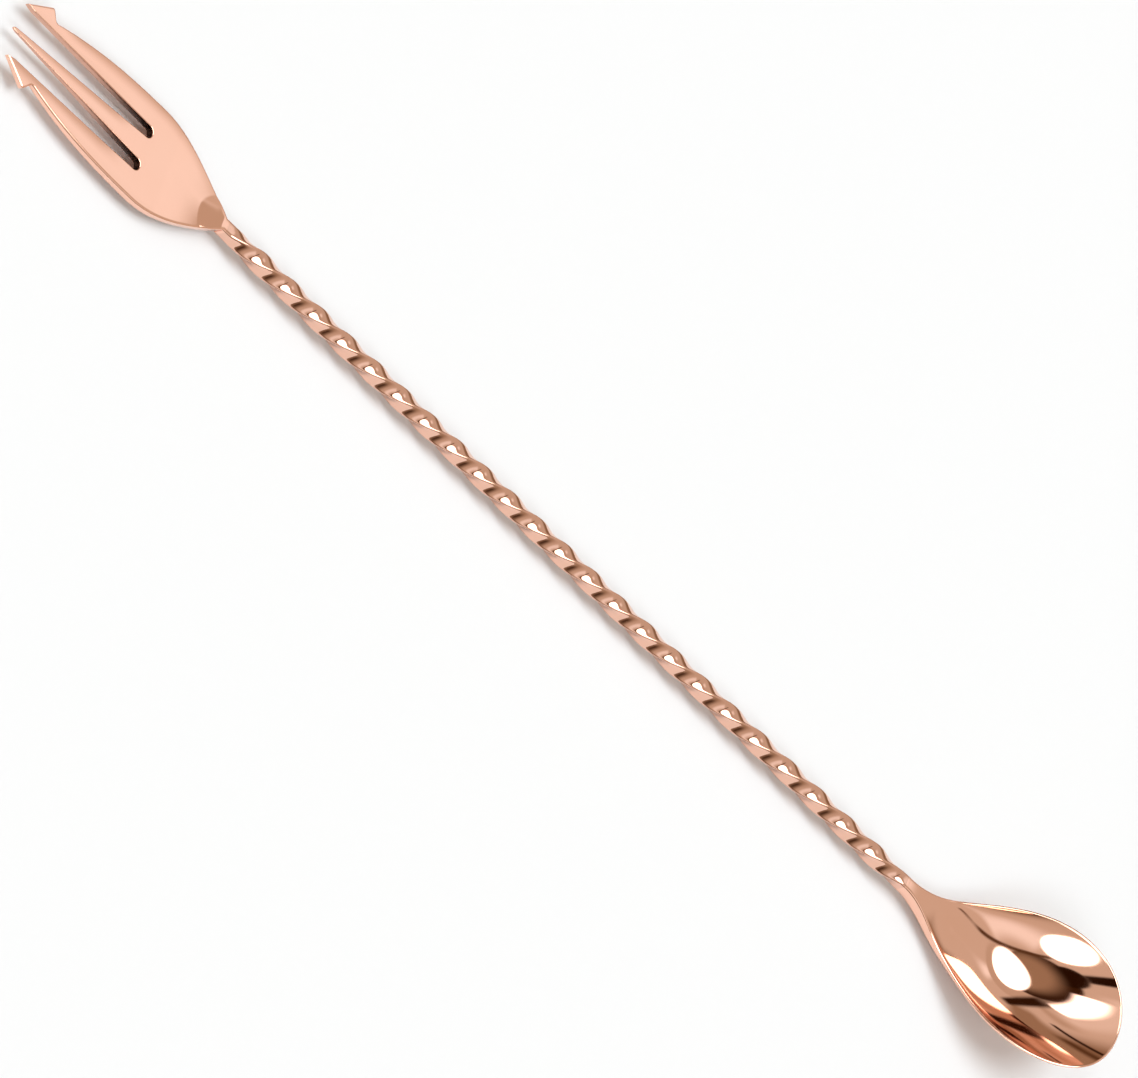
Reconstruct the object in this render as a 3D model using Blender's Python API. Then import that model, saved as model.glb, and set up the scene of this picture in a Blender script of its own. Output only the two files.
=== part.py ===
"""Bar spoon: a pressed teardrop bowl, a twisted square stem and a three-tined fork, welded end to end.

X runs from the fork to the bowl, Z is up and the bowl opens upwards. The origin is under the
middle of the spoon, on the surface that it lies on. Lengths are metres.
"""
import math

import bmesh
import bpy
from mathutils import Matrix

# Stem: square bar, drawn down a little towards its ends and twisted between two short plain ends,
# a little tighter at one place than elsewhere
BAR_SIDE = 0.0030
BAR_END_SIDE = 0.0026
BAR_END_TAPER = 0.0080
BAR_EDGE_RADIUS = 0.00025
BAR_EDGE_SEGMENTS = 2
TWIST_LENGTH = 0.1940
QUARTER_TURNS = 24
TWIST_TIGHTENING = 0.043
TIGHTEST_SHARE = 0.38
PLAIN_FORK_END = 0.0016
PLAIN_BOWL_END = 0.0008
RINGS_PER_QUARTER_TURN = 6

# Welds: the filler between the stem and each neck, ground flush with the bar
WELD_LENGTH = 0.0006
JOINT_GAP = 0.00005

# Bowl: X counts from the end face of its neck
BOWL_LENGTH = 0.0490
BOWL_HALF_WIDTH = 0.0132
BOWL_FLARE_POWER = 0.93
BOWL_DEPTH = 0.0072
BOWL_NOSE = 0.0158
BOWL_NECK_DIP = 0.0060
BOWL_NECK_THINS = 0.0200
RIM_RISE = 0.0110
RIM_RISE_START = 0.0087
LIP_THICKNESS = 0.0010
NOSE_HALF_FLAT = 0.0006
HOLLOW_POWER = 1.6
BOWL_BACK_STATIONS = 26
BOWL_NOSE_STATIONS = 14
BOWL_HALF_COLUMNS = 9

# Fork: X counts from the point of the centre tine, Y from the middle line
FORK_BLADE_LENGTH = 0.0382
FORK_NECK_LENGTH = 0.0211
FORK_HALF_WIDTH = 0.0095
FORK_THICKNESS = 0.00165
FORK_FACE_RISE = 0.00045
TINE_TIP_THICKNESS = 0.0011
SLOT_BRIDGE = 0.0006
SLOT_ROOT_RADIUS = 0.0011
SLOT_ROOT_OFFSET = 0.0034
CENTRE_POINT_LENGTH = 0.0022
CENTRE_POINT_HALF_WIDTH = 0.0003
CENTRE_POINT_DROP = 0.0005
TINE_SETBACK = 0.0013
TINE_TIP_OFFSET = 0.0054
TINE_POINT_LENGTH = 0.0018
TINE_INNER_OFFSET = 0.0050
BARB_LENGTH = 0.0050
BARB_OFFSET = 0.0084
NOTCH_LENGTH = 0.0022
NOTCH_OFFSET = 0.0065
FLANK_POWER = 2.5
FLANK_POINTS = 10
ARC_POINTS = 8
POINT_POINTS = 4
FORK_NECK_STATIONS = 14
NECK_THICKENS_POWER = 4
SAME_POINT = 0.00001

# Plated finish of every piece
COPPER = (0.93, 0.60, 0.47, 1.0)
POLISH = 0.08
WELD_POLISH = 0.12
SMOOTH_ANGLE = math.radians(35)


def ease(share):
    """Rise smoothly from 0 to 1 as share runs from 0 to 1."""
    share = min(max(share, 0.0), 1.0)
    return 0.5 - 0.5 * math.cos(math.pi * share)


def clear_scene():
    for item in list(bpy.data.objects):
        bpy.data.objects.remove(item, do_unlink=True)


def copper_plate(name, roughness):
    """Polished copper plate as a Principled material."""
    material = bpy.data.materials.new(name)
    material.use_nodes = True
    shader = material.node_tree.nodes["Principled BSDF"]
    shader.inputs["Base Color"].default_value = COPPER
    shader.inputs["Metallic"].default_value = 1.0
    shader.inputs["Roughness"].default_value = roughness
    return material


def add_piece(name, bm, roughness, x, holder, collection):
    """Make the named piece from a bmesh, with its own material, at x on the stem's axis."""
    mesh = bpy.data.meshes.new(name)
    bmesh.ops.recalc_face_normals(bm, faces=bm.faces)
    bm.to_mesh(mesh)
    bm.free()
    mesh.shade_smooth()
    mesh.set_sharp_from_angle(angle=SMOOTH_ANGLE)
    mesh.materials.append(copper_plate(name + "_copper", roughness))
    piece = bpy.data.objects.new(name, mesh)
    piece.location.x = x
    piece.parent = holder
    collection.objects.link(piece)
    return piece


def bar_length(start, end, side):
    """Plain square bar from start to end along X, with its four long edges rounded."""
    bm = bmesh.new()
    bmesh.ops.create_cube(bm, size=1.0)
    bmesh.ops.scale(bm, vec=(end - start, side, side), verts=bm.verts)
    bmesh.ops.translate(bm, vec=((start + end) / 2, 0.0, 0.0), verts=bm.verts)
    long_edges = [edge for edge in bm.edges if abs(edge.verts[0].co.x - edge.verts[1].co.x) > 0.0]
    bmesh.ops.bevel(bm, geom=long_edges, offset=BAR_EDGE_RADIUS, segments=BAR_EDGE_SEGMENTS, profile=0.5,
                    affect="EDGES")
    return bm


def turned_share(share):
    """Share of the whole twist that is done at a share of the twisted length."""
    wave = math.sin(2 * math.pi * (share - TIGHTEST_SHARE)) + math.sin(2 * math.pi * TIGHTEST_SHARE)
    return share + TWIST_TIGHTENING * wave / (2 * math.pi)


def twisted_stem(x, holder, collection):
    """One bar, cut into rings that are narrowed towards the ends and turned left-handed by whole quarters."""
    bm = bar_length(-PLAIN_FORK_END, TWIST_LENGTH + PLAIN_BOWL_END, BAR_SIDE)
    rings = QUARTER_TURNS * RINGS_PER_QUARTER_TURN
    for ring in range(rings + 1):
        every_part = bm.verts[:] + bm.edges[:] + bm.faces[:]
        cut = (TWIST_LENGTH * ring / rings, 0.0, 0.0)
        bmesh.ops.bisect_plane(bm, geom=every_part, plane_co=cut, plane_no=(1.0, 0.0, 0.0))
    for vert in bm.verts:
        from_end = min(vert.co.x, TWIST_LENGTH - vert.co.x)
        narrowing = (BAR_SIDE - BAR_END_SIDE) * (1.0 - ease(from_end / BAR_END_TAPER))
        vert.co.yz *= 1.0 - narrowing / BAR_SIDE
        share = min(max(vert.co.x / TWIST_LENGTH, 0.0), 1.0)
        turn = QUARTER_TURNS * math.pi / 2 * turned_share(share)
        vert.co.rotate(Matrix.Rotation(-turn, 3, "X"))
    return add_piece("twisted_stem", bm, POLISH, x, holder, collection)


def bowl_half_width(x):
    widest = BOWL_LENGTH - BOWL_NOSE
    if x <= widest:
        return BAR_END_SIDE / 2 + (BOWL_HALF_WIDTH - BAR_END_SIDE / 2) * ease(x / widest) ** BOWL_FLARE_POWER
    return BOWL_HALF_WIDTH * math.sqrt(max(0.0, 1.0 - ((x - widest) / BOWL_NOSE) ** 2))


def bowl_rim(x):
    """Height of the bowl's rim, and of the neck's top, over the stem's axis."""
    neck_top = BAR_END_SIDE / 2 * (1.0 - ease(x / BOWL_NECK_DIP))
    return neck_top + RIM_RISE * ease((x - RIM_RISE_START) / (BOWL_LENGTH - RIM_RISE_START))


def bowl_edge(x):
    """Thickness at the rim: the whole bar at the neck, the pressed lip along the bowl."""
    return LIP_THICKNESS + (BAR_END_SIDE - LIP_THICKNESS) * (1.0 - ease(x / BOWL_NECK_THINS))


def bowl_hollow(x):
    """Depth of the hollow below the rim, on the middle line."""
    narrowest = BAR_END_SIDE / 2 if x <= BOWL_LENGTH - BOWL_NOSE else 0.0
    share = (bowl_half_width(x) - narrowest) / (BOWL_HALF_WIDTH - narrowest)
    return BOWL_DEPTH * max(share, 0.0) ** HOLLOW_POWER


def bowl_stations():
    """Places along the bowl, closer together towards the nose, ending at its small flat."""
    widest = BOWL_LENGTH - BOWL_NOSE
    back = [widest * step / BOWL_BACK_STATIONS for step in range(BOWL_BACK_STATIONS)]
    last_angle = math.acos(NOSE_HALF_FLAT / BOWL_HALF_WIDTH)
    turns = [last_angle * step / BOWL_NOSE_STATIONS for step in range(BOWL_NOSE_STATIONS + 1)]
    return back + [widest + BOWL_NOSE * math.sin(turn) for turn in turns]


def bowl_section(x):
    """Closed section at x: the hollow from one rim to the other, then back along the underside."""
    half, rim, edge, hollow = bowl_half_width(x), bowl_rim(x), bowl_edge(x), bowl_hollow(x)
    columns = range(-BOWL_HALF_COLUMNS, BOWL_HALF_COLUMNS + 1)
    shares = [math.sin(math.pi / 2 * column / BOWL_HALF_COLUMNS) for column in columns]
    inside = [(x, half * share, rim - hollow * (1.0 - share ** 2)) for share in shares]
    underside = [(x, y, z - edge) for x, y, z in reversed(inside)]
    return inside + underside


def spoon_bowl(x, holder, collection):
    """Loft from the square neck to the thin hollow bowl."""
    bm = bmesh.new()
    rings = [[bm.verts.new(point) for point in bowl_section(station)] for station in bowl_stations()]
    for ring, following in zip(rings, rings[1:]):
        for index in range(len(ring)):
            ahead = (index + 1) % len(ring)
            bm.faces.new((ring[index], ring[ahead], following[ahead], following[index]))
    columns = 2 * BOWL_HALF_COLUMNS + 1
    for ring in (rings[0], rings[-1]):
        for index in range(columns - 1):
            bm.faces.new((ring[index], ring[index + 1], ring[-2 - index], ring[-1 - index]))
    return add_piece("spoon_bowl", bm, POLISH, x, holder, collection)


def slot_arc():
    """Round root of a slot, from the centre tine's side to the outer tine's."""
    middle = FORK_BLADE_LENGTH - SLOT_BRIDGE - SLOT_ROOT_RADIUS
    turns = [math.pi * (step / ARC_POINTS - 0.5) for step in range(ARC_POINTS + 1)]
    return [(middle + SLOT_ROOT_RADIUS * math.cos(turn), SLOT_ROOT_OFFSET + SLOT_ROOT_RADIUS * math.sin(turn))
            for turn in turns]


def flank():
    """Outer edge of an outer tine, from its notch out to the full width of the blade."""
    start = TINE_SETBACK + BARB_LENGTH + NOTCH_LENGTH
    points = []
    for step in range(FLANK_POINTS + 1):
        share = step / FLANK_POINTS
        spread = 1.0 - (1.0 - share) ** FLANK_POWER
        points.append((start + (FORK_BLADE_LENGTH - start) * share,
                       NOTCH_OFFSET + (FORK_HALF_WIDTH - NOTCH_OFFSET) * spread))
    return points


def blade_half_outline():
    """Half of the flat fork, from the centre tine's point round to the blade's root."""
    turns = [math.pi / 2 * step / POINT_POINTS for step in range(POINT_POINTS + 1)]
    centre_point = [(CENTRE_POINT_LENGTH * (1.0 - math.cos(turn)), CENTRE_POINT_HALF_WIDTH * math.sin(turn))
                    for turn in turns]
    outer_point = [(TINE_SETBACK + TINE_POINT_LENGTH, TINE_INNER_OFFSET),
                   (TINE_SETBACK, TINE_TIP_OFFSET),
                   (TINE_SETBACK + BARB_LENGTH, BARB_OFFSET)]
    return centre_point + slot_arc() + outer_point + flank()


def blade_mesh():
    """Flat outline, filled and extruded, with its top face at FORK_FACE_RISE over the axis.

    The underside thins towards the tips, and the centre tine's top slopes down to its point.
    """
    half = blade_half_outline()
    outline = half + [(x, -y) for x, y in reversed(half[1:])]
    curve = bpy.data.curves.new("fork_outline", "CURVE")
    curve.dimensions = "2D"
    curve.fill_mode = "BOTH"
    curve.extrude = FORK_THICKNESS / 2
    spline = curve.splines.new("POLY")
    spline.points.add(len(outline) - 1)
    for point, (x, y) in zip(spline.points, outline):
        point.co = (x, y, 0.0, 1.0)
    spline.use_cyclic_u = True
    pattern = bpy.data.objects.new("fork_outline", curve)
    bpy.context.scene.collection.objects.link(pattern)
    evaluated = pattern.evaluated_get(bpy.context.evaluated_depsgraph_get())
    mesh = bpy.data.meshes.new_from_object(evaluated)
    bpy.data.objects.remove(pattern, do_unlink=True)
    bm = bmesh.new()
    bm.from_mesh(mesh)
    bpy.data.meshes.remove(mesh)
    bmesh.ops.remove_doubles(bm, verts=bm.verts, dist=SAME_POINT)
    for vert in bm.verts:
        if vert.co.z > 0.0:
            on_centre_point = abs(vert.co.y) <= CENTRE_POINT_HALF_WIDTH
            vert.co.z = FORK_FACE_RISE - (CENTRE_POINT_DROP if on_centre_point else 0.0)
        else:
            taper = (FORK_THICKNESS - TINE_TIP_THICKNESS) * (1.0 - vert.co.x / FORK_BLADE_LENGTH)
            vert.co.z = FORK_FACE_RISE - FORK_THICKNESS + taper
    return bm


def trident_fork(x, holder, collection):
    """Flat blade with three tines, drawn out at its root into a neck that ends as the square bar."""
    bm = blade_mesh()
    bm.normal_update()
    root = max(bm.faces, key=lambda face: face.calc_center_median().x)
    for step in range(1, FORK_NECK_STATIONS + 1):
        spread = math.cos(math.pi / 2 * step / FORK_NECK_STATIONS)
        thickening = (1.0 - spread) ** NECK_THICKENS_POWER
        half = BAR_END_SIDE / 2 + (FORK_HALF_WIDTH - BAR_END_SIDE / 2) * spread
        top = FORK_FACE_RISE + (BAR_END_SIDE / 2 - FORK_FACE_RISE) * thickening
        bottom_start = FORK_FACE_RISE - FORK_THICKNESS
        bottom = bottom_start + (-BAR_END_SIDE / 2 - bottom_start) * thickening
        middle_z = root.calc_center_median().z
        root = bmesh.ops.extrude_discrete_faces(bm, faces=[root])["faces"][0]
        for vert in root.verts:
            vert.co.x = FORK_BLADE_LENGTH + FORK_NECK_LENGTH * step / FORK_NECK_STATIONS
            vert.co.y = math.copysign(half, vert.co.y)
            vert.co.z = top if vert.co.z > middle_z else bottom
    return add_piece("trident_fork", bm, POLISH, x, holder, collection)


def weld(name, x, holder, collection):
    """Filler of one butt weld, with the bar's own section."""
    return add_piece(name, bar_length(0.0, WELD_LENGTH, BAR_END_SIDE), WELD_POLISH, x, holder, collection)


def main():
    clear_scene()
    collection = bpy.data.collections.new("bar_spoon")
    bpy.context.scene.collection.children.link(collection)

    stations = bowl_stations()
    joint = WELD_LENGTH + 2 * JOINT_GAP
    fork_length = FORK_BLADE_LENGTH + FORK_NECK_LENGTH
    stem_length = PLAIN_FORK_END + TWIST_LENGTH + PLAIN_BOWL_END
    overall = fork_length + joint + stem_length + joint + stations[-1]
    belly = max(bowl_edge(x) + bowl_hollow(x) - bowl_rim(x) for x in stations)

    axis = bpy.data.objects.new("stem_axis", None)
    axis.location.z = belly
    collection.objects.link(axis)

    fork_x = -overall / 2
    fork_weld_x = fork_x + fork_length + JOINT_GAP
    stem_x = fork_weld_x + WELD_LENGTH + JOINT_GAP
    bowl_weld_x = stem_x + stem_length + JOINT_GAP
    trident_fork(fork_x, axis, collection)
    weld("fork_weld", fork_weld_x, axis, collection)
    twisted_stem(stem_x + PLAIN_FORK_END, axis, collection)
    weld("bowl_weld", bowl_weld_x, axis, collection)
    spoon_bowl(bowl_weld_x + WELD_LENGTH + JOINT_GAP, axis, collection)


main()
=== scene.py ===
"""Looks of a copper bar spoon: teardrop bowl, twisted square stem and trident fork.

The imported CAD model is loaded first, and every piece here takes its place from it. The file is laid
out as an add-on: property groups hold the sizes and finishes, one operator makes each piece, and
main() runs the operators in order.
"""

import math
from collections import namedtuple
from functools import partial

import bmesh
import bpy
import numpy as np
from bpy.props import FloatProperty, FloatVectorProperty, IntProperty, PointerProperty
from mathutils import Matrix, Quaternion, Vector


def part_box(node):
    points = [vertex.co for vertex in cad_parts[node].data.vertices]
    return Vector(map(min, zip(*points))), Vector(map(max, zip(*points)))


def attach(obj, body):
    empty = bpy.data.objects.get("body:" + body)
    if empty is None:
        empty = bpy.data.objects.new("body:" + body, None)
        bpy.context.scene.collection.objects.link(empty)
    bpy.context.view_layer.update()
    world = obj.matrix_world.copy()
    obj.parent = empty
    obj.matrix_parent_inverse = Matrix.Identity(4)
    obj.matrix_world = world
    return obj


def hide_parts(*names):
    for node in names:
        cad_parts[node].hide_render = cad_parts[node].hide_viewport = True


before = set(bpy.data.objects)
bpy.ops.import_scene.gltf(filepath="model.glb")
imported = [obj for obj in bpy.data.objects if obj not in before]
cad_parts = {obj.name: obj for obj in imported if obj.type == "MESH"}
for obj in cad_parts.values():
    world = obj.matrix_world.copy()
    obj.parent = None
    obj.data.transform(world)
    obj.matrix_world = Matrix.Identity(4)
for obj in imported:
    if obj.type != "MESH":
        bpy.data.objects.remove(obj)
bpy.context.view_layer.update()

bl_info = {
    "name": "Copper bar spoon",
    "version": (1, 0, 0),
    "blender": (4, 5, 0),
    "location": "3D View > Sidebar > Bar spoon",
    "description": "Makes the bowl, stem, fork and welds of a copper bar spoon, and its studio",
    "category": "Add Mesh",
}

BODY = "root"
# Face attribute that holds the share of painted shade on the walls in the fork's slots.
SLOT_SHADE = "slot_wall"
SHARP_ANGLE = math.radians(70)
MERGE_DISTANCE = 1e-7
SLIVER_LENGTH = 1e-8
TINY = 1e-9
FORK_BLADE = 0.0382

STEM_LOW, STEM_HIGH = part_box("twisted_stem")
BOWL_LOW, BOWL_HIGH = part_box("spoon_bowl")
FORK_LOW, FORK_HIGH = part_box("trident_fork")
AXIS_HEIGHT = (STEM_LOW.z + STEM_HIGH.z) / 2


def metres(name, description, default):
    return FloatProperty(name=name, description=description, default=default, min=0.0, precision=5,
                         unit="LENGTH")


def factor(name, description, default):
    return FloatProperty(name=name, description=description, default=default)


def whole(name, description, default):
    return IntProperty(name=name, description=description, default=default, min=1)


def degrees(name, description, angle):
    return FloatProperty(name=name, description=description, default=math.radians(angle), subtype="ANGLE")


def tint(name, description, default):
    return FloatVectorProperty(name=name, description=description, default=default, size=3, min=0.0,
                               subtype="COLOR")


# Settings


class StemSizes(bpy.types.PropertyGroup):
    """Sizes of the twisted square bar."""

    bar_side: metres("Bar side", "Side of the square bar", 0.0030)
    end_side: metres("End side", "Side of the bar where it meets the bowl and the fork", 0.0026)
    end_taper: metres("End taper", "Length over which the bar narrows at each end", 0.0080)
    plain_fork_end: metres("Plain fork end", "Untwisted length at the fork", 0.0016)
    plain_bowl_end: metres("Plain bowl end", "Untwisted length at the bowl", 0.0008)
    quarter_turns: whole("Quarter turns", "Number of quarter turns in the twist", 24)
    tightening: factor("Tightening", "How much tighter the twist is at its tightest place", 0.043)
    tightest_share: factor("Tightest place", "Where the twist is tightest, from fork to bowl", 0.38)
    squareness: factor("Squareness", "Power of the section: 2 is round, higher is squarer", 11.0)
    fork_squareness: factor("Fork squareness", "Power of the section where the fork starts", 6.0)
    bowl_squareness: factor("Bowl squareness", "Power of the section where the bowl's neck starts", 6.0)
    soft_end: metres("Soft end", "Length over which the edges soften at each end", 0.0090)
    rings: whole("Rings", "Number of rings along the bar", 460)
    section_points: whole("Section points", "Number of points round the bar", 88)


class BowlSizes(bpy.types.PropertyGroup):
    """Sizes of the pressed bowl and its neck."""

    half_width: metres("Half width", "Half of the bowl's width", BOWL_HIGH.y)
    length: metres("Length", "From the neck's end to the nose", BOWL_HIGH.x - BOWL_LOW.x)
    nose: metres("Nose", "From the widest place to the nose", 0.0158)
    depth: metres("Depth", "Depth of the hollow at the widest place", 0.0072)
    flare_power: factor("Flare", "How early the neck widens into the bowl", 0.93)
    hollow_power: factor("Hollow power", "How the depth inside follows the width", 2.2)
    belly_power: factor("Belly power", "How the depth of the underside follows the width", 1.6)
    back_fullness: factor("Back fullness", "Power of the section at the back: lower is fuller", 0.72)
    fullness_start: factor("Fullness start", "Where the full section starts to fade, to the widest", 0.55)
    neck_dip: metres("Neck dip", "Length over which the neck's top falls to the axis", 0.0140)
    neck_thins: metres("Neck thinning", "Length over which the neck thins to the sheet", 0.0200)
    rim_rise: metres("Rim rise", "Height of the nose over the axis", 0.0110)
    rim_rise_start: metres("Rim rise start", "Where the rim starts to rise", 0.0087)
    sheet: metres("Sheet", "Thickness of the pressed sheet", 0.00095)
    land: metres("Land", "Width of the flat that is ground on the rim", 0.00040)
    neck_land: metres("Neck land", "Width of the rounded edge on the neck", 0.00065)
    lip_wall: metres("Lip wall", "Height of the outer wall under the land", 0.00050)
    inner_round: metres("Inner rounding", "Rounding of the land's inner edge", 0.00010)
    outer_round: metres("Outer rounding", "Rounding of the lip's outer edges", 0.00022)
    neck_round: metres("Neck rounding", "Rounding of the neck's edges", 0.00052)
    neck_blend: metres("Neck blend", "Length over which the neck takes the bar's section", 0.0060)


class ForkSizes(bpy.types.PropertyGroup):
    """Sizes of the flat fork with its three tines."""

    half_width: metres("Half width", "Half of the blade's width", FORK_HIGH.y)
    blade: metres("Blade", "From the centre tine's point to the blade's root", FORK_BLADE)
    neck: metres("Neck", "From the blade's root to the bar", FORK_HIGH.x - FORK_LOW.x - FORK_BLADE)
    thickness: metres("Thickness", "Thickness of the blade", 0.00165)
    tip_thickness: metres("Tip thickness", "Thickness at the tines' points", 0.0011)
    face_rise: metres("Face rise", "Height of the blade's face over the bar's axis", 0.00045)
    bridge: metres("Bridge", "From the slots' roots to the blade's root", 0.0006)
    slot_radius: metres("Slot radius", "Radius of the slots' roots", 0.0011)
    slot_offset: metres("Slot offset", "From the middle line to the slots' roots", 0.0034)
    point_length: metres("Centre point length", "Length of the centre tine's point", 0.0022)
    point_half_width: metres("Centre point", "Half of the centre point's width", 0.00042)
    point_back: metres("Centre point back", "How far the centre point is worn back", 0.0009)
    point_drop: metres("Centre point drop", "How far the centre tine slopes down", 0.0005)
    setback: metres("Setback", "How far the outer tines stand back", 0.0016)
    tip_offset: metres("Tip offset", "From the middle line to an outer tine's point", 0.0054)
    tip_length: metres("Tip length", "Length of an outer tine's inner slope", 0.0018)
    inner_offset: metres("Inner offset", "From the middle line to an outer tine", 0.0050)
    barb_length: metres("Barb length", "From an outer point to its barb", 0.0057)
    barb_offset: metres("Barb offset", "From the middle line to a barb", 0.0086)
    notch_length: metres("Notch length", "From the barb to the notch behind it", 0.0016)
    notch_offset: metres("Notch offset", "From the middle line to a notch", 0.0065)
    barb_round: metres("Barb rounding", "Rounding of the barb and of the notch", 0.00038)
    flank_power: factor("Flank power", "How early the flank reaches the full width", 2.5)
    edge_round: metres("Edge rounding", "Rounding of the blade's outer edges", 0.00032)
    slot_round: metres("Slot rounding", "Rounding of the edges in the slots", 0.00012)
    crown: metres("Crown", "How far the tines' faces fall towards their edges", 0.00014)
    crown_width: metres("Crown width", "Width of the crowned strip along the edges", 0.0026)
    crown_left: factor("Crown on the left", "Share of the crown along the edges towards -Y", 0.3)
    palm_rise: metres("Palm rise", "How far the palm rises before the ramp", 0.00034)
    palm_run: metres("Palm run", "From where the palm starts to rise to the bar", 0.0155)
    ramp: metres("Ramp", "From the ramp's foot to the bar", 0.0064)
    ramp_top: metres("Ramp top", "Length of the flat between the ramp and the bar", 0.0007)
    ramp_curve: factor("Ramp curve", "How far the ramp's foot curves back towards -Y, per metre", 85.0)
    ramp_curve_right: factor("Ramp curve, right", "How far the foot curves back towards +Y", 260.0)
    neck_blend: metres("Neck blend", "Length over which the neck takes the bar's section", 0.0025)


class WeldSizes(bpy.types.PropertyGroup):
    """Sizes of the flush welds."""

    bead: metres("Bead", "How far the polished bead stands proud", 0.000004)
    rings: whole("Rings", "Number of rings along a weld", 9)


class CopperFinish(bpy.types.PropertyGroup):
    """Colours and polish of the copper plate."""

    bright: tint("Bright copper", "Colour of the plate", (0.97, 0.592, 0.455))
    deep: tint("Deep copper", "Colour where the plate is a little thicker", (0.95, 0.56, 0.415))
    # Painted shade: the walls in the slots take this dark colour, which stands for the shadow under the fork
    # that they reflect.
    slot_wall: tint("Slot wall", "Colour of the unpolished walls in the slots", (0.06, 0.026, 0.016))
    # Painted shade: the stem is the same copper as the rest, and this share darkens its colour to stand for
    # the darker surroundings that its faces reflect.
    stem_tone: factor("Stem tone", "Share of the plate's colour on the stem, which is less polished", 0.88)
    polish: factor("Polish", "Roughness of the best polished places", 0.03)
    haze: factor("Haze", "Roughness of the dullest places", 0.07)
    weld_haze: factor("Weld haze", "Roughness that is added at the welds", 0.01)


class StudioSetup(bpy.types.PropertyGroup):
    """Camera and light of the studio."""

    azimuth: degrees("Azimuth", "Camera's direction from +X towards +Y", -138.73)
    elevation: degrees("Elevation", "Camera's height over the horizon", 41.92)
    roll: degrees("Roll", "Turn of the camera about its own axis", 81.26)
    distance: metres("Distance", "From the camera to the aim", 8.0)
    view_width: metres("View width", "Width that the camera sees at the aim", 0.19630)
    aim: FloatVectorProperty(name="Aim", description="Point in the middle of the picture", size=3,
                             default=(0.002184, 0.001354, 0.005764), subtype="XYZ", unit="LENGTH",
                             precision=5)
    floor_radius: metres("Floor radius", "Radius of the pale floor", 6.0)
    floor_colour: tint("Floor colour", "Colour of the pale floor", (0.785, 0.825, 0.86))
    wall: factor("Wall", "Level of the plain walls, where 1 is white", 0.65)
    softbox: factor("Softbox", "Strength of the softboxes, where 1 is white", 5.0)


class BarSpoonSettings(bpy.types.PropertyGroup):
    """All settings of the bar spoon."""

    stem: PointerProperty(type=StemSizes)
    bowl: PointerProperty(type=BowlSizes)
    fork: PointerProperty(type=ForkSizes)
    weld: PointerProperty(type=WeldSizes)
    copper: PointerProperty(type=CopperFinish)
    studio: PointerProperty(type=StudioSetup)


# Helpers


def ease(share):
    """Rise smoothly from 0 to 1 as share runs from 0 to 1."""
    return 0.5 - 0.5 * np.cos(np.pi * np.clip(share, 0.0, 1.0))


def between(start, end, share):
    return start + (end - start) * share


def feed(tree, socket, value):
    """Put a value on a node's input, or link another socket to it."""
    if isinstance(value, bpy.types.NodeSocket):
        tree.links.new(value, socket)
    else:
        socket.default_value = value


def math_node(tree, operation, *values):
    """A Math node with sockets or numbers as its inputs. Returns its output."""
    node = tree.nodes.new("ShaderNodeMath")
    node.operation = operation
    for socket, value in zip(node.inputs, values):
        feed(tree, socket, value)
    return node.outputs[0]


def new_node(tree, kind, **inputs):
    """A node with sockets or values put on its named inputs."""
    node = tree.nodes.new(kind)
    for name, value in inputs.items():
        feed(tree, node.inputs[name.replace("_", " ")], value)
    return node


def colour_mix(tree, mask, under, over):
    """A colour Mix node with sockets or colours as its inputs. Returns its output."""
    node = tree.nodes.new("ShaderNodeMix")
    node.data_type = "RGBA"
    colours = [socket for socket in node.inputs if socket.type == "RGBA"]
    for socket, value in zip((node.inputs["Factor"], *colours), (mask, under, over)):
        feed(tree, socket, value)
    return next(socket for socket in node.outputs if socket.type == "RGBA")


def make_piece(name, points, faces, material, slot_shades=()):
    """A smooth closed mesh piece at the origin, with its doubles merged and its faces outwards.

    Pairs of a face's number and a share of painted shade, one for each slot wall, go into the face attribute
    that holds the painted shade.
    """
    mesh = bpy.data.meshes.new(name)
    bm = bmesh.new()
    marks = bm.faces.layers.float.new(SLOT_SHADE)
    verts = [bm.verts.new(point) for point in points]
    for face in faces:
        bm.faces.new([verts[index] for index in face])
    bm.faces.ensure_lookup_table()
    for number, share in slot_shades:
        bm.faces[number][marks] = share
    bmesh.ops.remove_doubles(bm, verts=bm.verts, dist=MERGE_DISTANCE)
    bmesh.ops.dissolve_degenerate(bm, edges=bm.edges, dist=SLIVER_LENGTH)
    bmesh.ops.recalc_face_normals(bm, faces=bm.faces)
    bm.to_mesh(mesh)
    bm.free()
    mesh.shade_smooth()
    mesh.set_sharp_from_angle(angle=SHARP_ANGLE)
    mesh.materials.append(material)
    piece = bpy.data.objects.new(name, mesh)
    bpy.context.scene.collection.objects.link(piece)
    return piece


def fit_piece(piece, node):
    """Put a finished piece on its body, in place of its CAD node."""
    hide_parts(node)
    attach(piece, BODY)


def ring_faces(ring_count, points_per_ring):
    """Quads between rings of points that are numbered one ring after another."""
    faces = []
    for ring in range(ring_count - 1):
        first = ring * points_per_ring
        for index in range(points_per_ring):
            ahead = (index + 1) % points_per_ring
            faces.append((first + index, first + ahead, first + points_per_ring + ahead,
                          first + points_per_ring + index))
    return faces


def bar_radius(angle, side, power):
    """Distance from the axis to the bar's surface, for a square section with soft corners."""
    return side / 2 * (np.abs(np.cos(angle)) ** power + np.abs(np.sin(angle)) ** power) ** (-1 / power)


def soften_section(points, share, half, low, high, power):
    """Give sections the bar's soft corners where share is 0, within their own width and height."""
    middle, tall = (low + high) / 2, (high - low) / 2
    y, z = points[..., 1], points[..., 2] - middle
    reach = (np.abs(y / half) ** power + np.abs(z / tall) ** power) ** (1 / power)
    scale = between(1 / np.maximum(reach, TINY), 1.0, share)
    points[..., 1] = y * scale
    points[..., 2] = middle + z * scale


# Material

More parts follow.
